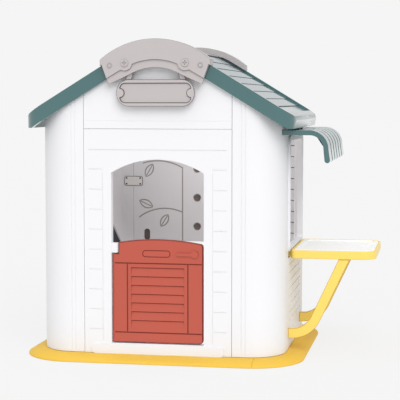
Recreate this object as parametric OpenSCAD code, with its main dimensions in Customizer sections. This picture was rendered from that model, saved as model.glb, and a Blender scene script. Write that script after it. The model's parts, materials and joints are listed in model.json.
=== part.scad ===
/* [Walls] */
// Outside width of the walls, left to right
wall_w = 908; // [757:1:1090]
// Outside depth of the walls, front to back
wall_d = 808; // [673:1:970]
// Height of the side walls above the ground
wall_h = 894; // [860:1:1073]
// Thickness of the wall panels
wall_t = 28; // [23:1:34]
// Outside radius of the wall corners
corner_r = 135; // [112:1:160]
// Distance from the middle to the front and back seams
seam_x = 273; // [228:1:300]
// Distance from the middle to the side seams
seam_y = 235; // [228:1:262]
// Height of the seam under the gables
gable_z = 848; // [800:1:856]
// Gap that shows between two panels at a seam
seam_gap = 1.4; // [0.6:0.1:2.4]
// Height of the shadow gap under the walls
foot_gap = 2; // [1:0.5:3]
// Width of the moulded grooves in the walls
groove_w = 3; // [2:0.5:5]
// Depth of the moulded grooves in the walls
groove_d = 2; // [1:0.5:4]

/* [Base] */
// Height of the base frame
base_h = 27; // [22:1:33]
// How far the base stands out beyond the side walls
base_out_x = 67; // [56:1:80]
// How far the base stands out beyond the front and back walls
base_out_y = 60; // [50:1:72]
// Width of the base frame's moulding
base_w = 120; // [115:1:144]
// Width of the sloping skirt
base_slope = 50; // [40:1:50]
// Outside corner radius of the base
base_r = 195; // [180:1:230]
// Distance from the middle to the joints of the base segments
base_joint = 353; // [300:1:375]

/* [Doorway] */
// Clear width of the doorway
door_open_w = 342; // [285:1:400]
// Height of the sill above the ground
sill_z = 66; // [60:1:75]
// Height where the doorway's arch starts
arch_z = 689; // [600:1:700]
// Rise of the doorway's arch
arch_rise = 49; // [41:1:52]
// Width of the smooth surround of the doorway
surround_w = 32; // [27:1:38]
// Height of the step at the threshold
step_h = 36; // [30:1:38]

/* [Door] */
// Running gap round the door
door_gap = 3.4; // [1:0.1:4]
// Height of the middle of the door's top edge above the ground
door_top_z = 448; // [374:1:538]
// Height of the door's top edge at its ends, below the middle
door_drop = 17; // [14:1:20]
// Thickness of the door
door_t = 22; // [18:1:24]
// Distance from the doorway's jamb to the hinge axis
hinge_in = 12.5; // [12.5:0.5:15]
// Height of the hinge lug
lug_h = 35; // [29:1:42]
// Radius of the hinge pins
pin_r = 4; // [3.5:0.1:4.8]
// Radial clearance between a hinge pin and the door
pin_gap = 0.06; // [0.02:0.01:0.1]
// Width of the grooves in the door
door_groove_w = 4.5; // [3:0.5:6]
// Number of slats in the door's louvre
slats = 7; // [5:1:9]

/* [Windows] */
// Width of the side windows
win_w = 410; // [342:1:416]
// Height of the window sills above the ground
win_z0 = 405; // [403:1:480]
// Height of the top of the windows above the ground
win_z1 = 802; // [700:1:812]
// Width of the raised window frame
win_rim = 20; // [16:1:24]
// How far the window frame stands proud of the wall
win_proud = 7; // [5:0.5:9]
// Width of the crawl hole in the back wall
crawl_w = 290; // [242:1:340]
// Height of the top of the crawl hole above the ground
crawl_z1 = 360; // [300:1:375]

/* [Roof] */
// Slope of the roof, rise over run
pitch = 0.61; // [0.51:0.01:0.7]
// Outside radius of the ridge
ridge_r = 285; // [240:1:320]
// Thickness of the roof panels
roof_t = 22; // [18:1:26]
// Depth of the fascia, square to the roof
fascia_d = 51; // [43:1:60]
// How far the eaves stand out beyond the side walls
eave_out = 44; // [38:1:54]
// How far the roof stands out beyond the front and back walls
verge_out = 16; // [14:1:19]
// Thickness of the lip round the roof
lip_t = 15; // [12:1:15]
// Radius that turns the roof down into the eave
eave_r = 25; // [20:1:30]
// Lean of the eave's face from upright
eave_lean = 14; // [8:1:18]
// Corner radius of the roof in plan
roof_r = 75; // [60:1:90]
// Number of shingle courses on each slope
courses = 8; // [6:1:9]
// How far the shingles lie below the roof's rims
course_in = 8; // [5:0.5:8]
// Depth of a shingle course's step
course_d = 3; // [2:0.5:4]
// Width of the rims at the front and back of the roof
rim_w = 25; // [20:1:30]

/* [Ridge caps and sign] */
// How far a ridge cap stands proud of the roof
cap_proud = 22; // [18:1:26]
// Half width of a ridge cap
cap_half_w = 201; // [170:1:210]
// How far a ridge cap reaches over the roof
cap_over = 62; // [52:1:74]
// Thickness of a ridge cap's face
cap_t = 10; // [8:1:12]
// Height of the raised step on a ridge cap's face
cap_step = 6; // [4:0.5:7]
// Width of the hanging sign
sign_w = 286; // [240:1:300]
// Height of the hanging sign
sign_h = 96; // [80:1:104]
// Thickness of the hanging sign
sign_t = 14; // [12:1:16]

/* [Awning] */
// Length of the awning, front to back
awning_l = 650; // [542:1:700]
// How far the awning's straight top stands out from the wall
awning_flat = 87; // [73:1:104]
// Outside radius of the awning's curve
awning_r = 68; // [57:1:80]
// Thickness of the awning
awning_t = 18; // [16:1:22]
// Height of the awning's hanging edge
awning_drop = 50; // [42:1:60]
// How far the hanging edge leans out at its tip
awning_lean = 6; // [4:1:8]
// Number of grooves in the awning
awning_grooves = 5; // [3:1:7]
// Width of the grooves in the awning
awning_groove_w = 26; // [20:1:32]
// Depth of the grooves in the awning
awning_groove_d = 3; // [2:0.5:4]

/* [Counter] */
// Height of the top of the counter above the ground
tray_z = 398; // [331:1:399]
// Depth of the counter's rim
tray_h = 31; // [27:1:37]
// Length of the counter, along the wall
tray_l = 422; // [352:1:422]
// How far the counter stands out from its slot
tray_w = 312.5; // [260:0.5:375]
// Gap between the counter's rim and the wall
tray_gap = 8.5; // [8:0.5:12]
// Radius of the counter's outer corners
tray_r = 58; // [48:1:66]
// Radius of the counter's corners by the wall
tray_wall_r = 18; // [14:1:24]
// Width of the counter's rim
tray_rim = 9; // [8:1:13]
// Thickness of the counter's inset top
inset_t = 10; // [8:1:12]
// Distance between the counter's arms, over their outsides
arm_span = 410; // [342:1:420]
// Thickness of an arm, front to back
arm_w = 28; // [23:1:34]
// Depth of an arm, seen from the side
arm_d = 36; // [30:1:42]
// Inside radius of an arm's bend
arm_r = 80; // [67:1:92]
// Height of the underside of an arm at the wall
arm_z = 68; // [57:1:82]
// Lean of an arm's strut from upright
arm_lean = 25; // [21:1:28]

/* [Inside] */
// Width of the lines of the inside relief
relief_w = 5; // [3:0.5:6]
// Length of a joining plate
plate_l = 79; // [66:1:84]
// Width of a joining plate
plate_w = 40; // [33:1:48]
// Thickness of a joining plate
plate_t = 4; // [3:0.5:5]
// Lean of the drawing board from upright
board_lean = 25.5; // [21:0.5:30]
// Distance from the wall to the drawing board's foot
board_foot = 278; // [232:1:330]
// Width of the drawing board
board_w = 280; // [233:1:300]
// Thickness of the drawing board
board_t = 12; // [10:1:14]

/* [Hidden] */
$fn = 64;

white = [0.96, 0.96, 0.97];
teal = [0.36, 0.50, 0.52];
grey = [0.78, 0.76, 0.76];
red = [0.78, 0.38, 0.32];
yellow = [0.98, 0.82, 0.42];
navy = [0.05, 0.08, 0.15];
steel = [0.70, 0.70, 0.72];

hx = wall_w / 2;
hy = wall_d / 2;
gap = seam_gap / 2;
// Corner radius that leaves the joining plates a flat wall to lie on
wall_r = min(corner_r, hy - seam_y - plate_l / 2 + 6, hx - seam_x - plate_l / 2);
far = 2000;

// Slope of the roof, and the centre of the ridge's curve
pitch_a = atan(pitch);
ridge_zc = wall_h + (roof_t - ridge_r) / cos(pitch_a) + pitch * hx;
ridge_steps = 7;
roof_hx = hx + eave_out;
roof_hy = hy + verge_out;
eave_drop = 44;
eave_z = wall_h - eave_drop;

// Ridge caps: heights above the centre of the ridge's curve
cap_r = ridge_r + cap_proud;
cap_y = roof_hy + cap_proud;
cap_foot = [170, 145];
cap_knee = [93, 180];
cap_peak = 205;
step_side = [173, 168];
step_knee = [125, 196];
step_inner = [82, 217];
step_peak = 233;
screw_at = [110, 221];
plug_at = [165, 212];
boss_r = 28;
screw_head_r = 14;
plug_r = 9.4;

sign_z = ridge_zc + 114;
sign_y = cap_y - 8;
post_x = 88;
post_w = 22;

hinge_x = hinge_in - door_open_w / 2;
hinge_y = wall_t / 2 - hy;
lug_z = door_top_z - door_drop - lug_h + 2;
pin_in = 20;

// Counter: everything hangs from the wall's face and the counter's top
tray_x0 = hx + tray_gap;
tongue_h = 24;
tongue_in = wall_t * 0.7;
slot_gap = 3;

board_l = (board_foot - 8) / sin(board_lean);

// The origin is under the middle of the whole toy
mid_x = (tray_x0 + tray_w - hx - base_out_x) / 2;

// ---- helpers ----

module place() {
    translate([-mid_x, 0, 0]) children();
}

// Draws a front view outline and gives it a depth from y0 to y1
module xz(y0, y1) {
    translate([0, y1, 0]) rotate([90, 0, 0]) linear_extrude(y1 - y0) children();
}

// Draws a side view outline and gives it a width from x0 to x1
module yz(x0, x1) {
    translate([x0, 0, 0]) rotate([90, 0, 90]) linear_extrude(x1 - x0) children();
}

module block(x0, x1, y0, y1, z0, z1) {
    translate([x0, y0, z0]) cube([x1 - x0, y1 - y0, z1 - z0]);
}

// Rectangle with rounded corners, given by its half sizes
module rounded(half_x, half_y, r) {
    square([2 * (half_x - r), 2 * half_y], center = true);
    square([2 * half_x, 2 * (half_y - r)], center = true);
    for (sx = [-1, 1], sy = [-1, 1])
        translate([sx * (half_x - r), sy * (half_y - r)]) circle(r);
}

function arc(cx, cy, r, a0, a1, n) =
    [for (i = [0:n]) let (a = a0 + (a1 - a0) * i / n) [cx + r * cos(a), cy + r * sin(a)]];

// Everything below the roof's surface, sunk square to it by the given depth
module under_roof(depth) {
    r = ridge_r - depth;
    end_a = 90 - pitch_a;
    tip = [r * cos(end_a), ridge_zc + r * sin(end_a)];
    low = tip[1] - (far / 2 - tip[0]) * pitch;
    polygon(concat(
        [[-far / 2, -far], [far / 2, -far], [far / 2, low]],
        arc(0, ridge_zc, r, end_a, 180 - end_a, 2 * ridge_steps),
        [[-far / 2, low]]
    ));
}

// ---- base ----

// Cross-section of the base, measured inwards from its outside edge
module base_section() {
    polygon([
        [0, 0], [0, 5], [-3, 10], [-14, 16], [-base_slope, base_h],
        [-base_w, base_h], [-base_w, 0]
    ]);
}

module base_ring() {
    ox = hx + base_out_x;
    oy = hy + base_out_y;
    for (sx = [-1, 1], sy = [-1, 1])
        translate([sx * (ox - base_r), sy * (oy - base_r), 0])
            rotate([0, 0, sx > 0 ? (sy > 0 ? 0 : -90) : (sy > 0 ? 90 : 180)])
                rotate_extrude(angle = 90) translate([base_r, 0]) base_section();
    for (s = [0, 180]) {
        rotate([0, 0, s]) xz(base_r - oy, oy - base_r) translate([ox, 0]) base_section();
        rotate([0, 0, s + 90]) xz(base_r - ox, ox - base_r) translate([oy, 0]) base_section();
    }
}

module base_segment(x0, x1, y0, y1) {
    color(yellow) place() intersection() {
        base_ring();
        block(x0, x1, y0, y1, -1, base_h + 1);
    }
}

base_joint_y = base_joint - 63;
module base_front() base_segment(-far, base_joint, -far, -base_joint_y);
module base_right() base_segment(base_joint, far, -far, base_joint_y);
module base_back() base_segment(-base_joint, far, base_joint_y, far);
module base_left() base_segment(-far, -base_joint, -base_joint_y, far);

// ---- walls ----

// The whole wall, as one band between the base and the roof
module wall_band() {
    intersection() {
        translate([0, 0, base_h]) linear_extrude(far) difference() {
            rounded(hx, hy, wall_r);
            rounded(hx - wall_t, hy - wall_t, wall_r - wall_t);
        }
        xz(-far, far) under_roof(roof_t);
    }
}

module wall_piece(x0, x1, y0, y1, z0, z1) {
    difference() {
        intersection() {
            wall_band();
            block(x0, x1, y0, y1, z0, z1);
        }
        shadow_gap();
    }
}

// Sets the foot of the walls back, so a fine dark line runs round the house
module shadow_gap() {
    depth = 3;
    translate([0, 0, base_h - 1]) linear_extrude(foot_gap + 1) difference() {
        square([2 * hx + 2, 2 * hy + 2], center = true);
        rounded(hx - depth, hy - depth, wall_r - depth);
    }
}

// Upright groove in the front wall's face
module front_groove_up(x, z0, z1) {
    block(x - groove_w / 2, x + groove_w / 2, -hy - 1, groove_d - hy, z0, z1);
}

module front_groove_across(x0, x1, z) {
    block(x0, x1, -hy - 1, groove_d - hy, z - groove_w / 2, z + groove_w / 2);
}

corner_line = seam_x + 34;
corner_band = 14;

module corner(sx, sy) {
    color(white) place() mirror([sx > 0 ? 0 : 1, 0, 0]) mirror([0, sy > 0 ? 1 : 0, 0])
        difference() {
            wall_piece(seam_x + gap, far, -far, -seam_y - gap, base_h, far);
            for (x = [corner_line, corner_line + corner_band])
                front_groove_up(x, base_h + 8, far);
            if (sx > 0 && sy > 0) mirror([0, 1, 0]) inside_rows();
        }
}

// Level grooves round the inside of the back right corner
row_pitch = 45;
module inside_rows() {
    in = wall_t - groove_d;
    for (z = [win_z0:row_pitch:win_z1])
        translate([0, 0, z]) linear_extrude(groove_w) difference() {
            rounded(hx - in, hy - in, wall_r - in);
            square([2 * (corner_line + 8), far], center = true);
            square([far, 2 * (seam_y + 10)], center = true);
        }
}

module corner_front_left() corner(-1, -1);
module corner_front_right() corner(1, -1);
module corner_back_left() corner(-1, 1);
module corner_back_right() corner(1, 1);

// Outline of an opening with a low arch, grown by the given margin
module arched(width, z0, z1, rise, margin) {
    half = width / 2;
    r = (half * half + rise * rise) / (2 * rise);
    span = asin(half / r);
    big = r + margin;
    side = half + margin;
    turn = asin(side / big);
    polygon(concat(
        [[-side, z0], [side, z0]],
        arc(0, z1 + rise - r, big, 90 - turn, 90 + turn, 16)
    ));
}

// Grooves that draw planks beside the doorway, and one line over it
planks = 8;
line_drop = 76;
line_in = 19;
module front_lines() {
    edge = seam_x - line_in;
    side = door_open_w / 2 + surround_w;
    z0 = sill_z + 50;
    z1 = arch_z + 13;
    front_groove_across(-edge, edge, gable_z - line_drop);
    for (m = [0, 1]) mirror([m, 0, 0]) {
        front_groove_up(side, sill_z + 8, arch_z);
        for (k = [0:planks])
            front_groove_across(side, edge, z0 + k * (z1 - z0) / planks);
    }
}

module threshold() {
    half = door_open_w / 2 + 74;
    r = 12;
    xz(-hy - 5, -hy) translate([0, base_h + step_h / 2]) rounded(half, step_h / 2, r);
}

module hinge_lug() {
    jamb = -door_open_w / 2;
    r = hinge_in - 0.2;
    translate([hinge_x, hinge_y, lug_z]) cylinder(r = r, h = lug_h);
    block(jamb - 1, hinge_x, hinge_y - r, hinge_y + r, lug_z, lug_z + lug_h);
}

module front_panel() {
    color(white) place() difference() {
        union() {
            difference() {
                wall_piece(gap - seam_x, seam_x - gap, -far, 0, base_h, gable_z - gap);
                xz(-hy - 10, wall_t + 10 - hy) arched(door_open_w, sill_z, arch_z, arch_rise, 0);
                front_lines();
            }
            threshold();
            hinge_lug();
        }
        translate([hinge_x, hinge_y, lug_z - pin_in]) cylinder(r = pin_r, h = 2 * pin_in);
        translate([hinge_x, hinge_y, sill_z - pin_in]) cylinder(r = pin_r, h = 2 * pin_in);
    }
}

module gable(front) {
    z = gable_z + 26;
    color(white) place() mirror([0, front ? 0 : 1, 0]) difference() {
        wall_piece(gap - seam_x, seam_x - gap, -far, 0, gable_z + gap, far);
        block(8 - seam_x, seam_x - 8, -hy - 1, groove_d / 2 - hy, z, z + groove_w);
    }
}
module front_gable() gable(true);
module back_gable() gable(false);

// One leaf, as a ring between two lenses with a midrib
module leaf(len, turn) {
    w = 0.27 * len;
    r = (len * len / 4 + w * w) / (2 * w);
    rotate(turn) {
        difference() {
            lens(r, w);
            lens(r, w - relief_w);
        }
        square([len * 0.8, relief_w * 0.8], center = true);
    }
}

module lens(r, w) {
    intersection() {
        translate([0, r - w]) circle(r);
        translate([0, w - r]) circle(r);
    }
}

// A curved twig, as part of a ring
module twig(x, z, r, a0, a1) {
    polygon(concat(arc(x, z, r, a0, a1, 10), arc(x, z, r - relief_w, a1, a0, 10)));
}

pillar_x = 60;
dimple_z = [423, 544, 665];
module back_relief() {
    for (s = [0, 1]) mirror([s, 0]) {
        translate([-pillar_x - relief_w, crawl_z1 + 2]) square([relief_w, 670 - crawl_z1]);
        twig(-168, 488, 212, 60, 108);
        twig(-136, 314, 186, 66, 128);
        translate([-205, 657]) leaf(64, 60);
        translate([-219, 516]) leaf(66, -24);
        translate([-140, 446]) leaf(62, 58);
    }
}

module back_panel() {
    inner = hy - wall_t;
    sag = 7;
    ball = 24;
    color(white) place() difference() {
        wall_piece(gap - seam_x, seam_x - gap, 0, far, base_h, gable_z - gap);
        xz(inner - 10, hy + 10) translate([0, (sill_z + crawl_z1) / 2])
            rounded(crawl_w / 2, (crawl_z1 - sill_z) / 2, 30);
        xz(inner - 1, inner + groove_d) back_relief();
        for (z = dimple_z) translate([0, inner + sag - ball, z]) sphere(ball);
        for (s = [-1, 1]) xz(inner - 1, inner + sag) translate([s * 215, 386]) rounded(12, 24, 11.9);
        mirror([0, 1, 0]) for (k = [0:2])
            front_groove_across(line_in - seam_x, seam_x - line_in, gable_z - line_drop - k * 146);
    }
}

// Courses of bricks under a side window
brick_h = 30;
brick_l = 92;
brick_z = 130;
brick_rows = 7;
rebate = 12;
module bricks() {
    half = win_w / 2 - 20;
    for (i = [0:brick_rows]) {
        z = brick_z + i * brick_h;
        translate([-half, z - groove_w / 2]) square([2 * half, groove_w]);
        if (i < brick_rows)
            for (y = [(i % 2) * brick_l / 2 - half + brick_l:brick_l:half - 8])
                translate([y - groove_w / 2, z]) square([groove_w, brick_h]);
    }
}

module window_outline(margin) {
    translate([0, (win_z0 + win_z1) / 2])
        rounded(win_w / 2 + margin, (win_z1 - win_z0) / 2 + margin, 14 + margin);
}

module side_panel(with_slot) {
    inner = hx - wall_t;
    color(white) difference() {
        union() {
            wall_piece(0, far, gap - seam_y, seam_y - gap, base_h, far);
            yz(hx - 1, hx + win_proud) window_outline(win_rim);
        }
        yz(inner - 1, hx + win_proud + 1) window_outline(0);
        yz(inner - 1, inner + rebate) window_outline(rebate);
        yz(hx - groove_d, hx + 1) bricks();
        if (with_slot) counter_slot();
    }
}

module counter_slot() {
    yz(hx - tongue_in, hx + win_proud + 1) translate([0, tray_z - tray_h / 2])
        square([tray_l + 6, tongue_h + 2 * slot_gap], center = true);
}

module right_panel() place() side_panel(true);
module left_panel() place() mirror([1, 0, 0]) side_panel(false);

// ---- roof ----

// A point on the slope: s down from the end of the ridge's curve, n out of the roof
function on_slope(s, n) = [
    ridge_r * sin(pitch_a) + s * cos(pitch_a) + n * sin(pitch_a),
    ridge_zc + ridge_r * cos(pitch_a) - s * sin(pitch_a) + n * cos(pitch_a)
];

slope_l = (roof_hx - ridge_r * sin(pitch_a)) / cos(pitch_a);
course_0 = -48;
course_end = 32;
course_l = (slope_l - course_end - course_0) / courses;

// The stepped courses, cut as one staircase so that no fin is left between two of them
module shingle_cuts() {
    low = -course_in - course_d;
    over = 30;
    last = course_0 + courses * course_l;
    xz(rim_w - roof_hy, roof_hy - rim_w) polygon(concat(
        [on_slope(last, over), on_slope(course_0, over)],
        [for (i = [0:courses - 1], k = [0, 1])
            on_slope(course_0 + (i + k) * course_l, k == 0 ? low : -course_in)]
    ));
}

// Half of the roof seen from the front: ridge, slope, rounded eave and leaning lip
module roof_outline() {
    end_a = 90 - pitch_a;
    foot = on_slope(0, 0);
    cx = roof_hx - eave_r;
    cz = foot[1] - (eave_r + (cx - foot[0]) * sin(pitch_a)) / cos(pitch_a);
    lip = [cx + eave_r * cos(eave_lean), cz - eave_r * sin(eave_lean)];
    polygon(concat(
        [[0, eave_z]],
        [[lip[0] - (lip[1] - eave_z) * tan(eave_lean), eave_z]],
        arc(cx, cz, eave_r, -eave_lean, end_a, 10),
        arc(0, ridge_zc, ridge_r, end_a, 90, ridge_steps)
    ));
}

module roof_half() {
    lean = 8;
    color(teal) difference() {
        intersection() {
            linear_extrude(far) rounded(roof_hx, roof_hy, roof_r);
            xz(-far, far) roof_outline();
            union() {
                xz(-far, far) difference() {
                    square(far);
                    under_roof(roof_t);
                }
                difference() {
                    xz(-far, far) difference() {
                        square(far);
                        under_roof(fascia_d);
                    }
                    linear_extrude(far)
                        rounded(roof_hx - lip_t - lean, roof_hy - lip_t, roof_r - lip_t);
                }
            }
        }
        shingle_cuts();
    }
}

module roof_right() place() roof_half();
module roof_left() place() mirror([1, 0, 0]) roof_half();

// ---- ridge caps ----

function up(p) = [p[0], ridge_zc + p[1]];
function flip(p) = [-p[0], p[1]];

// Circle through the two ends of a low arch, cut out below it
module arch_cut(end, peak) {
    rise = peak - end[1];
    r = (end[0] * end[0] + rise * rise) / (2 * rise);
    translate([0, ridge_zc + peak - r]) circle(r, $fn = 128);
}

module cap_outline() {
    corner_z = sqrt(cap_r * cap_r - cap_half_w * cap_half_w);
    end = [cap_half_w, corner_z];
    difference() {
        intersection() {
            translate([0, ridge_zc]) circle(cap_r, $fn = 128);
            polygon([
                flip(up(end)), flip(up(cap_foot)), flip(up(cap_knee)),
                up(cap_knee), up(cap_foot), up(end),
                up([cap_half_w, cap_r + 10]), flip(up([cap_half_w, cap_r + 10]))
            ]);
        }
        arch_cut(cap_knee, cap_peak);
    }
}

module cap_raised() {
    side = [cap_half_w + 5, step_side[1] - 18];
    top = [cap_half_w + 5, cap_r + 10];
    intersection() {
        cap_outline();
        union() {
            difference() {
                polygon([
                    flip(up(side)), flip(up(step_side)), flip(up(step_knee)), flip(up(step_inner)),
                    up(step_inner), up(step_knee), up(step_side), up(side),
                    up(top), flip(up(top))
                ]);
                arch_cut(step_inner, step_peak);
            }
            for (s = [-1, 1])
                translate([s * screw_at[0], ridge_zc + screw_at[1]]) circle(boss_r);
        }
    }
}

module cap() {
    color(grey) difference() {
        union() {
            xz(-cap_y, cap_t + cap_step - cap_y) cap_raised();
            xz(cap_step - cap_y, cap_t + cap_step - cap_y) cap_outline();
            xz(-cap_y, cap_over - cap_y) difference() {
                intersection() {
                    translate([0, ridge_zc]) circle(cap_r, $fn = 128);
                    translate([-cap_half_w, ridge_zc]) square([2 * cap_half_w, far]);
                }
                under_roof(0);
            }
            xz(cap_step - cap_y, -roof_hy) difference() {
                cap_outline();
                under_roof(0);
            }
        }
        for (s = [-1, 1]) translate([s * screw_at[0], -cap_y - 1, ridge_zc + screw_at[1]])
            rotate([-90, 0, 0]) cylinder(r = 5, h = cap_t + cap_step + 1);
    }
}

module cap_front() place() cap();
module cap_back() place() mirror([0, 1, 0]) cap();

module cap_screw() {
    rotate([90, 0, 0]) difference() {
        union() {
            cylinder(r = screw_head_r, h = 3);
            translate([0, 0, -cap_t - cap_step]) cylinder(r = 5, h = cap_t + cap_step + 1);
        }
        for (a = [0, 90]) rotate([0, 0, a]) translate([-8, -1.6, 1.4]) cube([16, 3.2, 3]);
    }
}

module each_cap() {
    for (m = [0, 1]) mirror([0, m, 0]) for (s = [-1, 1]) mirror([s > 0 ? 0 : 1, 0, 0]) children();
}

module cap_screws() {
    color(grey) place() each_cap()
        translate([screw_at[0], -cap_y, ridge_zc + screw_at[1]]) cap_screw();
}

module cap_plugs() {
    color(grey) place() each_cap()
        translate([plug_at[0], -cap_y, ridge_zc + plug_at[1]]) rotate([90, 0, 0]) difference() {
            cylinder(r = plug_r, h = 2);
            translate([0, 0, 1]) cylinder(r = plug_r - 3, h = 2);
        }
}

// ---- sign ----

module sign_board() {
    half_w = sign_w / 2;
    half_h = sign_h / 2;
    margin = 13;
    back = -roof_hy;
    low = sign_z + half_h - 12;
    high = sign_z + half_h + 40;
    color(grey) place() difference() {
        union() {
            xz(-sign_y, sign_t - sign_y) translate([0, sign_z]) rounded(half_w, half_h, half_h - 1);
            xz(cap_t + cap_step - cap_y, back) for (m = [0, 1]) mirror([m, 0]) polygon([
                [post_x + 4, low], [post_x + post_w + 4, low],
                [post_x + post_w / 2 - 2, high], [post_x - post_w / 2, high]
            ]);
        }
        xz(-sign_y - 1, cap_step - 1 - sign_y) translate([0, sign_z]) difference() {
            rounded(half_w - margin, half_h - margin, 20);
            for (s = [-1, 1]) translate([s * (half_w - margin), 0]) circle(16);
        }
    }
}

// ---- door ----

door_x0 = hinge_x;
door_x1 = door_open_w / 2 - door_gap - 0.5;
door_z0 = sill_z + door_gap;
door_rail_z = door_z0 + (lug_z - door_z0) * 0.885;
notch_x = hinge_x + hinge_in + 1;

module door_outline() {
    left = hinge_x - door_t / 2;
    reach = max(-left, door_x1);
    r = (reach * reach + door_drop * door_drop) / (2 * door_drop);
    round = 12;
    turn = asin((door_x1 - round) / r);
    left_turn = asin(-notch_x / r);
    side_z = door_top_z - r + r * cos(turn) - round;
    polygon(concat(
        arc(0, door_top_z - r, r, 90 + left_turn, 90 - turn, 14),
        arc(door_x1 - round, side_z, round, 80, 0, 4),
        arc(door_x1 - round, door_z0 + round, round, 0, -90, 4),
        [[left, door_z0], [left, lug_z - door_gap], [notch_x, lug_z - door_gap]]
    ));
}

module door_groove(y, d) {
    low = door_z0 + 37;
    stile = door_open_w * 0.328;
    xz(y, y + d) {
        for (z = [low, door_rail_z])
            translate([door_x0, z - door_groove_w / 2]) square([door_x1 - door_x0 - 4, door_groove_w]);
        for (s = [-1, 1])
            translate([s * stile - door_groove_w / 2, low]) square([door_groove_w, door_rail_z - low]);
    }
}

module letter_slot(y) {
    xz(y, y + groove_d) translate([-4, lug_z - 2]) difference() {
        rounded(52, 13, 12);
        rounded(52 - groove_w, 13 - groove_w, 12 - groove_w);
    }
}

module louvre(face, depth, side) {
    z0 = door_z0 + 50;
    z1 = door_rail_z - 15;
    step = (z1 - z0) / slats;
    half = door_open_w * 0.287;
    for (i = [0:slats - 1])
        yz(-half, half) polygon([
            [face - side, z0 + i * step], [face - side, z0 + (i + 1) * step],
            [face + side * depth, z0 + (i + 1) * step], [face, z0 + i * step]
        ]);
}

lever_out = 4;
module lever() {
    at = [door_x1 - 30, lug_z - 2];
    xz(hinge_y - door_t / 2 - lever_out, hinge_y - door_t / 2 + 1) {
        translate(at) circle(13.5);
        translate([at[0] - 36, at[1] - 1]) rounded(32, 6, 5.9);
    }
}

module door() {
    front = hinge_y - door_t / 2;
    back = hinge_y + door_t / 2;
    color(red) place() difference() {
        union() {
            intersection() {
                xz(front - 1, back + 1) door_outline();
                linear_extrude(far) union() {
                    translate([hinge_x, hinge_y]) circle(door_t / 2);
                    translate([hinge_x, hinge_y - door_t / 2]) square([door_open_w, door_t]);
                }
            }
            lever();
        }
        door_groove(front - 1, groove_d + 1);
        door_groove(back - groove_d, groove_d + 1);
        letter_slot(front);
        louvre(front, 5, 1);
        louvre(back, 5, -1);
        for (z = [door_z0 - 1, lug_z - pin_in - 4])
            translate([hinge_x, hinge_y, z]) cylinder(r = pin_r + pin_gap, h = pin_in + 4);
    }
}

module hinge_pin_upper() {
    color(steel) place() translate([hinge_x, hinge_y, lug_z - pin_in + 1])
        cylinder(r = pin_r, h = 2 * pin_in - 1);
}

module hinge_pin_lower() {
    color(steel) place() translate([hinge_x, hinge_y, sill_z - pin_in])
        cylinder(r = pin_r, h = 2 * pin_in);
}

// ---- awning ----

awning_z = eave_z - 6;
awning_edge = hx + awning_flat + awning_r + awning_lean;

// The awning seen from the front
module awning_section() {
    cx = hx + awning_flat;
    cz = awning_z - awning_r;
    tip_r = awning_t / 2 + 1;
    polygon(concat(
        [[0, awning_z]],
        arc(cx, cz, awning_r, 90, 0, 12),
        arc(awning_edge - tip_r, cz - awning_drop + tip_r, tip_r, 0, -180, 8),
        arc(cx, cz, awning_r - awning_t, 0, 90, 12),
        [[0, awning_z - awning_t]]
    ));
}

// What a groove takes out of the awning, with a deeper notch at its tip
module awning_groove() {
    cx = hx + awning_flat;
    cz = awning_z - awning_r;
    low = cz - awning_drop;
    notch_h = 20;
    clear = 20;
    polygon(concat(
        [[hx, awning_z + clear], [hx, awning_z - awning_groove_d]],
        arc(cx, cz, awning_r - awning_groove_d, 90, 0, 12),
        [
            [awning_edge - awning_groove_d, low + notch_h],
            [awning_edge - awning_t * 0.7, low + notch_h],
            [awning_edge - awning_t * 0.7, low - clear],
            [awning_edge + clear, low - clear], [awning_edge + clear, awning_z + clear]
        ]
    ));
}

module awning() {
    half = awning_l / 2;
    rib = awning_l / (awning_grooves + 1);
    half_w = awning_groove_w / 2;
    color(teal) place() difference() {
        xz(-half, half) awning_section();
        translate([0, 0, -1]) linear_extrude(far) rounded(hx, hy, wall_r);
        for (i = [1:awning_grooves])
            xz(i * rib - half - half_w, i * rib - half + half_w) awning_groove();
    }
}

// ---- counter ----

module tray_plan(margin) {
    half_y = tray_l / 2 - margin;
    x0 = tray_x0 + margin;
    x1 = tray_x0 + tray_w - margin;
    quarter = (x1 - x0) / 4;
    translate([(x0 + x1) / 2, 0]) rounded(2 * quarter, half_y, tray_r - margin);
    translate([x0 + quarter, 0]) rounded(quarter, half_y, max(tray_wall_r - margin, 6));
}

module counter_tray() {
    tongue = tray_l - 4 * tray_wall_r;
    middle = tray_z - tray_h / 2;
    color(yellow) place() difference() {
        union() {
            translate([0, 0, tray_z - tray_h]) linear_extrude(tray_h) tray_plan(0);
            block(hx - tongue_in, tray_x0 + tray_r, -tongue / 2, tongue / 2,
                middle - tongue_h / 2, middle + tongue_h / 2);
        }
        translate([0, 0, tray_z - inset_t]) linear_extrude(far) tray_plan(tray_rim);
    }
}

module counter_top() {
    dish = 16;
    color(white) place() difference() {
        translate([0, 0, tray_z - inset_t]) linear_extrude(inset_t - 1) tray_plan(tray_rim);
        translate([0, 0, tray_z - 4]) linear_extrude(far) tray_plan(tray_rim + dish);
    }
}

module arm_section() {
    top = tray_z - tray_h;
    zc = arm_z + arm_d + arm_r;
    xc = hx + 12;
    outer = arm_r + arm_d;
    a1 = -arm_lean;
    in = [xc + arm_r * cos(a1), zc + arm_r * sin(a1)];
    out = [xc + outer * cos(a1), zc + outer * sin(a1)];
    slant = tan(arm_lean);
    polygon(concat(
        [[hx, arm_z]], arc(xc, zc, outer, -90, a1, 12),
        [[out[0] + (top - out[1]) * slant, top], [in[0] + (top - in[1]) * slant, top]],
        arc(xc, zc, arm_r, a1, -90, 12), [[hx, arm_z + arm_d]]
    ));
}

module counter_arm_back() {
    color(yellow) place() xz(arm_span / 2 - arm_w, arm_span / 2) arm_section();
}

module counter_arm_front() mirror([0, 1, 0]) counter_arm_back();

// ---- inside ----

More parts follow.
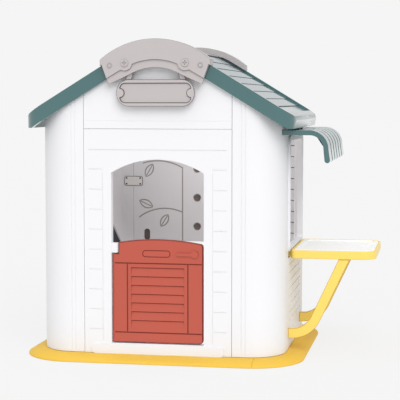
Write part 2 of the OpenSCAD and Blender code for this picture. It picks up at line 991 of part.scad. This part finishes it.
screw_dx = plate_l / 2 - 10;
screw_dz = plate_w / 2 - 8;
end_plate_z = [250, 612];
side_plate_z = [180, wall_h - 44];

module plate_2d() {
    difference() {
        rounded(plate_l / 2, plate_w / 2, 8);
        for (a = [-1, 1], b = [-1, 1]) translate([a * screw_dx, b * screw_dz]) circle(2.1);
    }
}

module plate_screw_2d(r) {
    for (a = [-1, 1], b = [-1, 1]) translate([a * screw_dx, b * screw_dz]) circle(r);
}

module end_plates(sy) {
    inner = hy - wall_t;
    color(white) place() mirror([0, sy > 0 ? 0 : 1, 0])
        for (z = end_plate_z, s = [-1, 1])
            xz(inner - plate_t, inner) translate([s * seam_x, z]) plate_2d();
}

module end_screws(sy) {
    inner = hy - wall_t;
    color(steel) place() mirror([0, sy > 0 ? 0 : 1, 0])
        for (z = end_plate_z, s = [-1, 1]) translate([0, 0, z]) {
            xz(inner - plate_t - 1.6, inner - plate_t) translate([s * seam_x, 0]) plate_screw_2d(3.6);
            xz(inner - plate_t, inner) translate([s * seam_x, 0]) plate_screw_2d(2);
        }
}

module side_plates(sx) {
    inner = hx - wall_t;
    color(white) place() mirror([sx > 0 ? 0 : 1, 0, 0])
        for (z = side_plate_z, s = [-1, 1])
            yz(inner - plate_t, inner) translate([s * seam_y, z]) rotate(90) plate_2d();
}

module side_screws(sx) {
    inner = hx - wall_t;
    color(steel) place() mirror([sx > 0 ? 0 : 1, 0, 0])
        for (z = side_plate_z, s = [-1, 1]) {
            yz(inner - plate_t - 1.6, inner - plate_t)
                translate([s * seam_y, z]) rotate(90) plate_screw_2d(3.6);
            yz(inner - plate_t, inner) translate([s * seam_y, z]) rotate(90) plate_screw_2d(2);
        }
}

module joining_plates_front() end_plates(-1);
module joining_plates_back() end_plates(1);
module joining_plates_left() side_plates(-1);
module joining_plates_right() side_plates(1);
module plate_screws_front() end_screws(-1);
module plate_screws_back() end_screws(1);
module plate_screws_left() side_screws(-1);
module plate_screws_right() side_screws(1);

// The loose board leans on the left wall and stands on the ground
board_y = hy - wall_t - 76 - board_w;
board_edge = 14;

module board_place() {
    place() translate([wall_t - hx + board_foot, board_y, 0]) rotate([0, -board_lean, 0]) children();
}

module board_frame() {
    color(grey) board_place() difference() {
        cube([board_t, board_w, board_l]);
        translate([-1, board_edge, board_edge])
            cube([board_t + 2, board_w - 2 * board_edge, board_l - 2 * board_edge]);
    }
}

module drawing_board() {
    color(navy) board_place() translate([2, board_edge, board_edge])
        cube([board_t - 4, board_w - 2 * board_edge, board_l - 2 * board_edge]);
}

base_front();
base_right();
base_back();
base_left();
corner_front_left();
corner_front_right();
corner_back_left();
corner_back_right();
front_panel();
front_gable();
back_panel();
back_gable();
right_panel();
left_panel();
roof_left();
roof_right();
cap_front();
cap_back();
cap_screws();
cap_plugs();
sign_board();
door();
hinge_pin_upper();
hinge_pin_lower();
awning();
counter_tray();
counter_top();
counter_arm_front();
counter_arm_back();
joining_plates_front();
joining_plates_back();
joining_plates_left();
joining_plates_right();
plate_screws_front();
plate_screws_back();
plate_screws_left();
plate_screws_right();
drawing_board();
board_frame();
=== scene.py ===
import json
import math

import bmesh
import bpy
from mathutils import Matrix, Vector

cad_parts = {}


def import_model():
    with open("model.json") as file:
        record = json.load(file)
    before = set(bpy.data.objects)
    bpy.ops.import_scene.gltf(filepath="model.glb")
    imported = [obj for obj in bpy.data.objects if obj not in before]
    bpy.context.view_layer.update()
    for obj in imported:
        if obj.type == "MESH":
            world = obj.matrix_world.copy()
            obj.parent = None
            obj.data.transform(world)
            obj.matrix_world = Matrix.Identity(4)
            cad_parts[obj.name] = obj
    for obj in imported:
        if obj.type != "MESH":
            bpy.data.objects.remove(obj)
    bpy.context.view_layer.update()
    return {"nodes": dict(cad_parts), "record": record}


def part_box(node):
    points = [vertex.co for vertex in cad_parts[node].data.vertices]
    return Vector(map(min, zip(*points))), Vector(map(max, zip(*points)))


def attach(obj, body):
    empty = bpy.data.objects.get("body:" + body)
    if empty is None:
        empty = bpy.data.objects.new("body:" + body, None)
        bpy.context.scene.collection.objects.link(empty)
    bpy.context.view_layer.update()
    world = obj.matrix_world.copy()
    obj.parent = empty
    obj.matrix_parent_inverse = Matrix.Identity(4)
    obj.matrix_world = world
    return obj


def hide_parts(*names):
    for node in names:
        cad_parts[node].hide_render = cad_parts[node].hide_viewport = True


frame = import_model()
nodes = frame["nodes"]

MM = 0.001


# ---- shader helpers ----

def add_node(tree, kind, **settings):
    """A node of the given kind, with its properties and inputs set by name."""
    node = tree.nodes.new(kind)
    for name, value in settings.items():
        if hasattr(node, name):
            setattr(node, name, value)
        else:
            node.inputs[name].default_value = value
    return node


def new_group(name, inputs, outputs):
    """An empty shader node group; inputs and outputs are (name, type, default)."""
    group = bpy.data.node_groups.new(name, "ShaderNodeTree")
    for label, kind, default in inputs:
        socket = group.interface.new_socket(label, in_out="INPUT", socket_type=kind)
        socket.default_value = default
    for label, kind in outputs:
        group.interface.new_socket(label, in_out="OUTPUT", socket_type=kind)
    start = group.nodes.new("NodeGroupInput")
    end = group.nodes.new("NodeGroupOutput")
    return group, start, end


def moulded_skin_group():
    """The fine texture and slow waviness of a blow-moulded plastic wall."""
    group, start, end = new_group(
        "moulded_skin",
        [("Grain Scale", "NodeSocketFloat", 900.0),
         ("Grain", "NodeSocketFloat", 0.3),
         ("Wave Scale", "NodeSocketFloat", 6.0),
         ("Wave", "NodeSocketFloat", 0.5),
         ("Roughness", "NodeSocketFloat", 0.4),
         ("Roughness Spread", "NodeSocketFloat", 0.06)],
        [("Height", "NodeSocketFloat"), ("Roughness", "NodeSocketFloat")])
    links = group.links
    where = add_node(group, "ShaderNodeTexCoord")
    grain = add_node(group, "ShaderNodeTexNoise", Detail=3.0, Roughness=0.6)
    wave = add_node(group, "ShaderNodeTexNoise", Detail=1.0, Roughness=0.4)
    smear = add_node(group, "ShaderNodeTexNoise", Scale=14.0, Detail=4.0, Roughness=0.55)
    for noise in (grain, wave, smear):
        links.new(where.outputs["Object"], noise.inputs["Vector"])
    links.new(start.outputs["Grain Scale"], grain.inputs["Scale"])
    links.new(start.outputs["Wave Scale"], wave.inputs["Scale"])
    fine = add_node(group, "ShaderNodeMath", operation="MULTIPLY")
    links.new(grain.outputs["Fac"], fine.inputs[0])
    links.new(start.outputs["Grain"], fine.inputs[1])
    slow = add_node(group, "ShaderNodeMath", operation="MULTIPLY_ADD")
    links.new(wave.outputs["Fac"], slow.inputs[0])
    links.new(start.outputs["Wave"], slow.inputs[1])
    links.new(fine.outputs[0], slow.inputs[2])
    links.new(slow.outputs[0], end.inputs["Height"])
    centred = add_node(group, "ShaderNodeMath", operation="SUBTRACT")
    centred.inputs[1].default_value = 0.5
    links.new(smear.outputs["Fac"], centred.inputs[0])
    rough = add_node(group, "ShaderNodeMath", operation="MULTIPLY_ADD")
    links.new(centred.outputs[0], rough.inputs[0])
    links.new(start.outputs["Roughness Spread"], rough.inputs[1])
    links.new(start.outputs["Roughness"], rough.inputs[2])
    links.new(rough.outputs[0], end.inputs["Roughness"])
    return group


def tone_group():
    """Slow colour drift and a dusty foot, over a base colour."""
    group, start, end = new_group(
        "plastic_tone",
        [("Base", "NodeSocketColor", (0.8, 0.8, 0.8, 1.0)),
         ("Drift Colour", "NodeSocketColor", (0.7, 0.7, 0.7, 1.0)),
         ("Drift", "NodeSocketFloat", 0.2),
         ("Dust Colour", "NodeSocketColor", (0.6, 0.57, 0.52, 1.0)),
         ("Dust", "NodeSocketFloat", 0.1),
         ("Dust Top", "NodeSocketFloat", 0.12)],
        [("Colour", "NodeSocketColor")])
    links = group.links
    where = add_node(group, "ShaderNodeTexCoord")
    drift = add_node(group, "ShaderNodeTexNoise", Scale=5.0, Detail=3.0, Roughness=0.5)
    speck = add_node(group, "ShaderNodeTexNoise", Scale=60.0, Detail=5.0, Roughness=0.65)
    for noise in (drift, speck):
        links.new(where.outputs["Object"], noise.inputs["Vector"])
    amount = add_node(group, "ShaderNodeMath", operation="MULTIPLY")
    links.new(drift.outputs["Fac"], amount.inputs[0])
    links.new(start.outputs["Drift"], amount.inputs[1])
    toned = add_node(group, "ShaderNodeMix", data_type="RGBA")
    links.new(amount.outputs[0], toned.inputs["Factor"])
    links.new(start.outputs["Base"], toned.inputs["A"])
    links.new(start.outputs["Drift Colour"], toned.inputs["B"])
    split = add_node(group, "ShaderNodeSeparateXYZ")
    links.new(where.outputs["Object"], split.inputs[0])
    low = add_node(group, "ShaderNodeMapRange")
    low.inputs["From Min"].default_value = 0.0
    low.inputs["To Min"].default_value = 1.0
    low.inputs["To Max"].default_value = 0.0
    links.new(split.outputs["Z"], low.inputs["Value"])
    links.new(start.outputs["Dust Top"], low.inputs["From Max"])
    dusty = add_node(group, "ShaderNodeMath", operation="MULTIPLY")
    links.new(low.outputs["Result"], dusty.inputs[0])
    links.new(speck.outputs["Fac"], dusty.inputs[1])
    dust = add_node(group, "ShaderNodeMath", operation="MULTIPLY")
    links.new(dusty.outputs[0], dust.inputs[0])
    links.new(start.outputs["Dust"], dust.inputs[1])
    result = add_node(group, "ShaderNodeMix", data_type="RGBA")
    links.new(dust.outputs[0], result.inputs["Factor"])
    links.new(toned.outputs["Result"], result.inputs["A"])
    links.new(start.outputs["Dust Colour"], result.inputs["B"])
    links.new(result.outputs["Result"], end.inputs["Colour"])
    return group


def tab_slots_group():
    """Slots that part a course of shingles into tabs, side by side along Y, in a painted shade
    colour.
    """
    group, start, end = new_group(
        "tab_slots",
        [("Colour", "NodeSocketColor", (0.5, 0.5, 0.5, 1.0)),
         ("Slot Shade Colour", "NodeSocketColor", (0.1, 0.1, 0.1, 1.0)),
         ("Tabs per Metre", "NodeSocketFloat", 22.0),
         ("Slot Share", "NodeSocketFloat", 0.16)],
        [("Colour", "NodeSocketColor")])
    links = group.links
    where = add_node(group, "ShaderNodeTexCoord")
    split = add_node(group, "ShaderNodeSeparateXYZ")
    links.new(where.outputs["Object"], split.inputs[0])
    count = add_node(group, "ShaderNodeMath", operation="MULTIPLY")
    links.new(split.outputs["Y"], count.inputs[0])
    links.new(start.outputs["Tabs per Metre"], count.inputs[1])
    along = add_node(group, "ShaderNodeMath", operation="FRACT")
    links.new(count.outputs[0], along.inputs[0])
    slot = add_node(group, "ShaderNodeMath", operation="LESS_THAN")
    links.new(along.outputs[0], slot.inputs[0])
    links.new(start.outputs["Slot Share"], slot.inputs[1])
    mix = add_node(group, "ShaderNodeMix", data_type="RGBA")
    links.new(slot.outputs[0], mix.inputs["Factor"])
    links.new(start.outputs["Colour"], mix.inputs["A"])
    links.new(start.outputs["Slot Shade Colour"], mix.inputs["B"])
    links.new(mix.outputs["Result"], end.inputs["Colour"])
    return group


# ---- plastics ----

MOULDED_SKIN = moulded_skin_group()
PLASTIC_TONE = tone_group()
TAB_SLOTS = tab_slots_group()
SKIN_DEPTH = 0.3 * MM                    # how deep the skin's texture is
PLASTIC_IOR = 1.5
COAT_ROUGHNESS = 0.12


def rgb(red, green, blue):
    """A display colour, 0 to 255, as a linear one."""
    def linear(value):
        value /= 255.0
        return value / 12.92 if value <= 0.04045 else ((value + 0.055) / 1.055) ** 2.4
    return (linear(red), linear(green), linear(blue), 1.0)


def plastic(name, base, drift_to, roughness, grain=0.3, wave=0.5, drift=0.25, dust=0.1,
            bump=0.4, coat=0.0, shine=0.5, slots=None):
    """A moulded plastic: skin, tone and a plain shader; slots is the painted shade colour of the tab
    slots.
    """
    material = bpy.data.materials.new(name)
    material.use_nodes = True
    tree = material.node_tree
    shader = tree.nodes["Principled BSDF"]
    skin = add_node(tree, "ShaderNodeGroup", node_tree=MOULDED_SKIN)
    skin.inputs["Grain"].default_value = grain
    skin.inputs["Wave"].default_value = wave
    skin.inputs["Roughness"].default_value = roughness
    tone = add_node(tree, "ShaderNodeGroup", node_tree=PLASTIC_TONE)
    tone.inputs["Base"].default_value = base
    tone.inputs["Drift Colour"].default_value = drift_to
    tone.inputs["Drift"].default_value = drift
    tone.inputs["Dust"].default_value = dust
    bumps = add_node(tree, "ShaderNodeBump")
    bumps.inputs["Strength"].default_value = bump
    bumps.inputs["Distance"].default_value = SKIN_DEPTH
    links = tree.links
    links.new(skin.outputs["Height"], bumps.inputs["Height"])
    links.new(bumps.outputs["Normal"], shader.inputs["Normal"])
    links.new(skin.outputs["Roughness"], shader.inputs["Roughness"])
    links.new(tone.outputs["Colour"], shader.inputs["Base Color"])
    if slots:
        tabs = add_node(tree, "ShaderNodeGroup", node_tree=TAB_SLOTS)
        tabs.inputs["Slot Shade Colour"].default_value = slots
        links.new(tone.outputs["Colour"], tabs.inputs["Colour"])
        links.new(tabs.outputs["Colour"], shader.inputs["Base Color"])
    shader.inputs["IOR"].default_value = PLASTIC_IOR
    shader.inputs["Specular IOR Level"].default_value = shine
    if coat:
        shader.inputs["Coat Weight"].default_value = coat
        shader.inputs["Coat Roughness"].default_value = COAT_ROUGHNESS
    return material


WHITE = plastic("white_wall", rgb(232, 232, 235), rgb(224, 222, 222), 0.42, dust=0.05)
# Darker copies of the white wall plastic: painted shade for its grooves, and a deeper painted shade
# for its hollows, joints and rows.
WHITE_GROOVE_SHADE = plastic("white_wall_groove_shade", rgb(172, 165, 162), rgb(150, 143, 140), 0.7, dust=0.0)
HOLLOW_SHADE = plastic("white_wall_hollow_shade", rgb(112, 104, 101), rgb(92, 84, 81), 0.7, dust=0.0)
TEAL = plastic("teal_roof", rgb(62, 102, 103), rgb(50, 90, 93), 0.17, grain=0.04, wave=0.3,
               dust=0.0, bump=0.08, coat=1.0)
# A paler copy of the roof teal for the courses: a painted sheen that stands for reflection at a
# grazing angle, with painted shade in the tab slots.
SHINGLE_SHEEN = plastic("teal_shingle_painted_sheen", rgb(124, 156, 166), rgb(112, 144, 154), 0.15, grain=0.04, wave=0.3,
                  dust=0.0, bump=0.08, coat=1.0, slots=rgb(44, 74, 80))
# A dark copy of the roof teal: painted shade on the risers between the shingle courses.
TEAL_SHADE = plastic("teal_roof_painted_shade", rgb(38, 60, 64), rgb(30, 50, 54), 0.5, dust=0.0)
GREY = plastic("grey_cap", rgb(186, 179, 179), rgb(176, 170, 170), 0.45, dust=0.0)
# A dark copy of the grey: painted shade on the bevels and rims of the cap, sign, plugs, screws and
# plates.
GREY_SHADE = plastic("grey_cap_painted_shade", rgb(88, 80, 78), rgb(76, 68, 66), 0.6, dust=0.0)
RED = plastic("red_door", rgb(184, 82, 64), rgb(172, 72, 55), 0.42, dust=0.05)
# A dark copy of the door red: painted shade in the door's rim, grooves, slat corners and bevels.
RED_SHADE = plastic("red_door_painted_shade", rgb(132, 42, 26), rgb(118, 34, 20), 0.6, dust=0.0)
YELLOW = plastic("yellow_base", rgb(230, 188, 64), rgb(216, 168, 48), 0.5, dust=0.1, shine=0.1)
TRAY_YELLOW = plastic("yellow_counter", rgb(244, 214, 104), rgb(236, 200, 86), 0.35, dust=0.0)
TRAY_WHITE = plastic("white_counter_top", rgb(253, 253, 251), rgb(249, 248, 245), 0.3, dust=0.0)
# A dark copy of the counter yellow: painted shade on the arms' bevels.
TRAY_SHADE = plastic("yellow_counter_painted_shade", rgb(206, 164, 66), rgb(192, 150, 56), 0.5, dust=0.0)
NAVY = plastic("navy_board", rgb(14, 26, 46), rgb(22, 34, 54), 0.55, dust=0.0)
PLATE = plastic("pale_plate", rgb(232, 229, 227), rgb(224, 220, 218), 0.4, dust=0.0)
STEEL = plastic("zinc_pin", rgb(170, 170, 172), rgb(150, 150, 152), 0.3, dust=0.0)
STEEL.node_tree.nodes["Principled BSDF"].inputs["Metallic"].default_value = 1.0
DARK_SCREW = plastic("dark_screw", rgb(84, 80, 80), rgb(66, 62, 62), 0.45, dust=0.0)


# ---- pieces ----

MERGE = 0.02 * MM                        # corners nearer than this are one corner
FLAT = math.radians(0.6)                 # faces nearer to one plane than this are one face
STUB = 0.5 * MM                          # shorter edges are left out of an outline
FACING = 0.9                             # a face looks along an axis past this share of its normal
EDGE_ON = 0.5                            # and across it under this one


def finished(mesh_name, work, material, node, edge=None, segments=2, sharp=32, others=(),
             edge_shade=False):
    """Turns a bmesh into a piece that stands for a CAD node, and rides on its body."""
    mesh = bpy.data.meshes.new(mesh_name)
    work.to_mesh(mesh)
    work.free()
    mesh.materials.append(material)
    for other in others:
        mesh.materials.append(other)
    piece = bpy.data.objects.new(mesh_name, mesh)
    bpy.context.scene.collection.objects.link(piece)
    for face in mesh.polygons:
        face.use_smooth = True
    if edge:
        soften = piece.modifiers.new("soft_edges", "BEVEL")
        soften.width = edge
        soften.segments = segments
        soften.limit_method = "ANGLE"
        soften.angle_limit = math.radians(sharp)
        soften.use_clamp_overlap = True
        soften.miter_outer = "MITER_ARC"
        # Where asked, the bevel takes the second material: a painted shade along the softened edges.
        if edge_shade:
            soften.material = 1
        weigh = piece.modifiers.new("flat_faces", "WEIGHTED_NORMAL")
        weigh.keep_sharp = True
        weigh.weight = 90
    else:
        mesh.set_sharp_from_angle(angle=math.radians(sharp))
    body = next(b for b, members in frame["record"]["behaviour"]["bodies"].items() if node in members)
    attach(piece, body)
    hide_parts(node)
    return piece


def node_copy(node):
    """A merged copy of a CAD node's mesh, with its flat faces joined again."""
    work = bmesh.new()
    work.from_mesh(nodes[node].data)
    bmesh.ops.remove_doubles(work, verts=work.verts, dist=MERGE)
    bmesh.ops.dissolve_limit(
        work, angle_limit=FLAT, verts=work.verts, edges=work.edges,
        use_dissolve_boundaries=False)
    return work


def mark(work, test):
    """Gives each face the piece's material that the test names by its number."""
    for face in work.faces:
        face.material_index = int(test(face.calc_center_median(), face.normal, face))


def outline(work, width, face_down, deep):
    """Cuts a narrow chamfer of painted shade round a plate's outer rim; face_down is its thin axis.
    """
    rims = {face for face in work.faces
            if abs(face.normal[face_down]) < EDGE_ON and extent(face, face_down) > deep}
    edges = [edge for edge in work.edges
             if edge.calc_length() > STUB and len(edge.link_faces) == 2
             and sum(face in rims for face in edge.link_faces) == 1
             and any(abs(face.normal[face_down]) > FACING for face in edge.link_faces)]
    bmesh.ops.bevel(work, geom=edges, offset=width, segments=2, profile=0.5, affect="EDGES",
                    clamp_overlap=False, material=1)


def extent(face, axis):
    """How far a face reaches along an axis."""
    levels = [v.co[axis] for v in face.verts]
    return max(levels) - min(levels)


def soft_node(node, material, edge, segments=2, sharp=32, others=(), edge_shade=False, test=None):
    """A CAD node's copy, softened where an edge is given, with materials given by the test."""
    work = node_copy(node)
    if test:
        mark(work, test)
    return finished("soft_" + node, work, material, node, edge, segments, sharp, others, edge_shade)


def height(face):
    """How tall a face is."""
    return extent(face, 2)


def width(face):
    """Roughly how wide a long narrow face is."""
    return 2.0 * face.calc_area() / sum(edge.calc_length() for edge in face.edges)


BACK_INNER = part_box("joining_plates_back")[1].y
SHALLOWEST, LINE_FLOOR, DEEPEST = 0.3 * MM, 2.2 * MM, 7.4 * MM      # below the inner face
WHOLE_WALL = 450 * MM                    # taller faces belong to the wall, not to its relief


def back_relief(centre, normal, face):
    """The drawn lines, then the deeper hollows, in the inside of the back wall; both get a painted
    shade.
    """
    depth = centre.y - BACK_INNER
    if not SHALLOWEST < depth < DEEPEST or height(face) > WHOLE_WALL:
        return 0
    return 1 if depth < LINE_FLOOR else 2


ROW_HEIGHT = 3.4 * MM
ROWS_LOW, ROWS_HIGH = 390 * MM, 820 * MM


def in_inside_row(centre, normal, face):
    """The level grooves round the inside of the back right corner, which get a painted shade."""
    return height(face) < ROW_HEIGHT and ROWS_LOW < centre.z < ROWS_HIGH


BRICK_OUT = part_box("counter_arm_front")[0].x
JOINT_NEAR, JOINT_FAR = 0.2 * MM, 2.5 * MM       # how far in from the bricks' face
BRICKS_TOP = 360 * MM
BRICK_HEIGHT = 40 * MM


def in_brick_joint(centre, normal, face):
    """The upright sides of the joints between the bricks, which get a painted shade."""
    return BRICK_OUT - JOINT_FAR < centre.x < BRICK_OUT - JOINT_NEAR and centre.z < BRICKS_TOP \
        and abs(normal.y) > FACING and height(face) < BRICK_HEIGHT


DOOR_LOW, DOOR_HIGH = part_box("door")
DOOR_LINE = 5.5 * MM                     # the widest groove or ledge that gets a painted shade
DOOR_BACK_SKIN, DOOR_FRONT_SKIN = 1 * MM, 5 * MM     # nearer the outside, no groove gets a painted shade
DOOR_RIM = 0.3                           # the rim's normal has less than this along the thickness
SLAT_FRONT, SLAT_BACK = 9 * MM, 5 * MM   # the slats' deep corners, from each side of the door
SLAT_LENGTH = 150 * MM
SLAT_LEVEL = 0.4 * MM                    # how close to those levels an edge has to lie
SLAT_FILLET = 3.4 * MM


def is_painted_door_shade(centre, normal, face):
    """The door's rim, its grooves, and the ledges between its slats, which get a painted shade."""
    return abs(normal.y) < DOOR_RIM or abs(normal.y) > FACING and width(face) < DOOR_LINE \
        and DOOR_LOW.y + DOOR_FRONT_SKIN < centre.y < DOOR_HIGH.y - DOOR_BACK_SKIN


def shade_slats(work):
    """Fills the deep corner over each slat with a narrow fillet of painted shade."""
    deep = (DOOR_LOW.y + SLAT_FRONT, DOOR_HIGH.y - SLAT_BACK)
    edges = [edge for edge in work.edges
             if edge.calc_length() > SLAT_LENGTH
             and all(min(abs(v.co.y - y) for y in deep) < SLAT_LEVEL for v in edge.verts)]
    bmesh.ops.bevel(work, geom=edges, offset=SLAT_FILLET, segments=1, affect="EDGES",
                    clamp_overlap=False, material=1)


ROOF_LEAN = 0.521                        # the sine of the roof's slope
COURSE_LEAN = 0.02                       # how far a course leans from that, at the least
COURSE_AREA = 0.03                       # square metres; a course's face is larger than this
COURSE_UP, COURSE_ACROSS = 0.7, 0.1      # its normal points up, and hardly along the ridge
RISER_OUT, RISER_DOWN = 0.75, -0.3       # a riser's normal points out, and a little down
RISER_HEIGHT = 12 * MM


def shingles(centre, normal, face):
    """Tells the risers between the courses, which get a painted shade, and the courses themselves,
    which get a painted sheen, from the rest.
    """
    if abs(normal.x) > RISER_OUT and normal.z < RISER_DOWN and height(face) < RISER_HEIGHT:
        return 1
    is_course = normal.z > COURSE_UP and abs(normal.y) < COURSE_ACROSS \
        and face.calc_area() > COURSE_AREA \
        and abs(abs(normal.x) - ROOF_LEAN) > COURSE_LEAN
    return 2 if is_course else 0


for name in ("front_panel", "front_gable", "back_gable", "left_panel",
             "corner_front_left", "corner_front_right"):
    soft_node(name, WHITE, edge=1.1 * MM)
soft_node("right_panel", WHITE, edge=1.1 * MM, others=(HOLLOW_SHADE,), test=in_brick_joint)
soft_node("back_panel", WHITE, edge=1.0 * MM, others=(WHITE_GROOVE_SHADE, HOLLOW_SHADE), test=back_relief)
soft_node("corner_back_left", WHITE, edge=1.1 * MM)
soft_node("corner_back_right", WHITE, edge=1.1 * MM, others=(HOLLOW_SHADE,), test=in_inside_row)
for name in ("base_front", "base_right", "base_back", "base_left"):
    soft_node(name, YELLOW, edge=2.5 * MM, segments=3)
for name in ("roof_left", "roof_right"):
    soft_node(name, TEAL, edge=None, sharp=24, others=(TEAL_SHADE, SHINGLE_SHEEN), test=shingles)
soft_node("awning", TEAL, edge=1.8 * MM, segments=3)
for name in ("cap_front", "cap_back"):
    soft_node(name, GREY, edge=2.0 * MM, others=(GREY_SHADE,), edge_shade=True)
soft_node("sign_board", GREY, edge=1.8 * MM, others=(GREY_SHADE,), edge_shade=True)
soft_node("cap_plugs", GREY, edge=0.8 * MM, others=(GREY_SHADE,), edge_shade=True)
soft_node("cap_screws", GREY, edge=0.9 * MM, others=(GREY_SHADE,), edge_shade=True)
door_work = node_copy("door")
mark(door_work, is_painted_door_shade)
outline(door_work, width=3.0 * MM, face_down=1, deep=15 * MM)
shade_slats(door_work)
finished("soft_door", door_work, RED, "door", edge=0.8 * MM, others=(RED_SHADE,), edge_shade=True)
soft_node("counter_tray", TRAY_YELLOW, edge=3.0 * MM, segments=3)
soft_node("counter_top", TRAY_WHITE, edge=2.0 * MM, segments=3)
for name in ("counter_arm_front", "counter_arm_back"):
    soft_node(name, TRAY_YELLOW, edge=1.8 * MM, segments=3, others=(TRAY_SHADE,), edge_shade=True)
for name in [n for n in nodes if n.startswith("joining_plates")]:
    plate_work = node_copy(name)
    thin_axis = 1 if name.endswith(("front", "back")) else 0
    outline(plate_work, width=2.0 * MM, face_down=thin_axis, deep=3 * MM)
    finished("soft_" + name, plate_work, PLATE, name, others=(GREY_SHADE,))
for name in [n for n in nodes if n.startswith(("plate_screws", "hinge_pin"))]:
    nodes[name].data.materials.clear()
    nodes[name].data.materials.append(DARK_SCREW if name.startswith("plate") else STEEL)
soft_node("drawing_board", NAVY, edge=0.8 * MM)
soft_node("board_frame", GREY, edge=1.2 * MM)


# ---- stage, lights and camera ----

HOUSE_LEFT, HOUSE_RIGHT = (corner.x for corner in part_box("front_panel"))
HOUSE_MIDDLE = (HOUSE_LEFT + HOUSE_RIGHT) / 2
FLOOR_SIZE = 60.0                        # metres each way from its middle
FLOOR_TONE = 0.12
FLOOR_GLOW = 0.78
SKY = 0.72
BACKDROP = 0.913
CABIN_WATTS = 1.7
CABIN_SIZE = 0.3                         # metres
CABIN_PLACE = (0.08, -0.05, 0.93)        # from the middle of the house
LENS = 118.44                            # millimetres
EYE_PLACE = (1.0184, -5.0303, 0.9488)    # from the middle of the house
EYE_DOWN = 4.308                         # degrees below level
EYE_ROUND = 10.544                       # degrees towards the left


def from_middle(place):
    """A place given from the middle of the house, in the frame."""
    return (HOUSE_MIDDLE + place[0], place[1], place[2])


def floor():
    """A pale plane that glows a little, under the house."""
    work = bmesh.new()
    bmesh.ops.create_grid(work, x_segments=1, y_segments=1, size=FLOOR_SIZE)
    mesh = bpy.data.meshes.new("floor")
    work.to_mesh(mesh)
    work.free()
    plane = bpy.data.objects.new("floor", mesh)
    bpy.context.scene.collection.objects.link(plane)
    material = bpy.data.materials.new("pale_floor")
    material.use_nodes = True
    shader = material.node_tree.nodes["Principled BSDF"]
    shader.inputs["Base Color"].default_value = (FLOOR_TONE, FLOOR_TONE, FLOOR_TONE, 1.0)
    shader.inputs["Roughness"].default_value = 1.0
    shader.inputs["Specular IOR Level"].default_value = 0.0
    shader.inputs["Emission Color"].default_value = (1.0, 1.0, 1.0, 1.0)
    shader.inputs["Emission Strength"].default_value = FLOOR_GLOW
    mesh.materials.append(material)


def sun(name, direction, strength, spread):
    """A far light that shines along a direction; spread is its size in degrees."""
    light = bpy.data.lights.new(name, "SUN")
    light.energy = strength
    light.angle = math.radians(spread)
    lamp = bpy.data.objects.new(name, light)
    lamp.rotation_euler = Vector(direction).to_track_quat("-Z", "Y").to_euler()
    bpy.context.scene.collection.objects.link(lamp)


def cabin_lamp():
    """A soft light under the ridge, so the inside reads through the doorway."""
    light = bpy.data.lights.new("cabin", "AREA")
    light.shape = "SQUARE"
    light.size = CABIN_SIZE
    light.energy = CABIN_WATTS
    light.color = (1.0, 0.935, 0.915)
    lamp = bpy.data.objects.new("cabin", light)
    lamp.location = from_middle(CABIN_PLACE)
    lamp.rotation_euler = Vector((0.0, 0.35, -1.0)).to_track_quat("-Z", "Y").to_euler()
    bpy.context.scene.collection.objects.link(lamp)


def world():
    """Pale light all round, a little brighter where it is seen straight on."""
    sky = bpy.data.worlds.new("studio")
    bpy.context.scene.world = sky
    sky.use_nodes = True
    tree = sky.node_tree
    background = tree.nodes["Background"]
    seen = add_node(tree, "ShaderNodeBackground")
    seen.inputs["Color"].default_value = (1.0, 1.0, 1.0, 1.0)
    seen.inputs["Strength"].default_value = BACKDROP
    background.inputs["Color"].default_value = (1.0, 1.0, 1.0, 1.0)
    background.inputs["Strength"].default_value = SKY
    path = add_node(tree, "ShaderNodeLightPath")
    mix = add_node(tree, "ShaderNodeMixShader")
    tree.links.new(path.outputs["Is Camera Ray"], mix.inputs["Fac"])
    tree.links.new(background.outputs[0], mix.inputs[1])
    tree.links.new(seen.outputs[0], mix.inputs[2])
    tree.links.new(mix.outputs[0], tree.nodes["World Output"].inputs["Surface"])


def camera():
    """The eye in front of the house, to its right."""
    lens = bpy.data.cameras.new("camera")
    lens.lens = LENS
    lens.sensor_width = 36.0
    lens.clip_end = 300.0
    eye = bpy.data.objects.new("camera", lens)
    eye.location = from_middle(EYE_PLACE)
    eye.rotation_euler = (math.radians(90 - EYE_DOWN), 0.0, math.radians(EYE_ROUND))
    bpy.context.scene.collection.objects.link(eye)
    bpy.context.scene.camera = eye


floor()
world()
sun("key", (-0.45, 1.0, -0.85), 1.45, 40)
sun("top", (0.1, 0.3, -1.0), 0.5, 60)
cabin_lamp()
camera()
bpy.context.scene.view_settings.view_transform = "Standard"
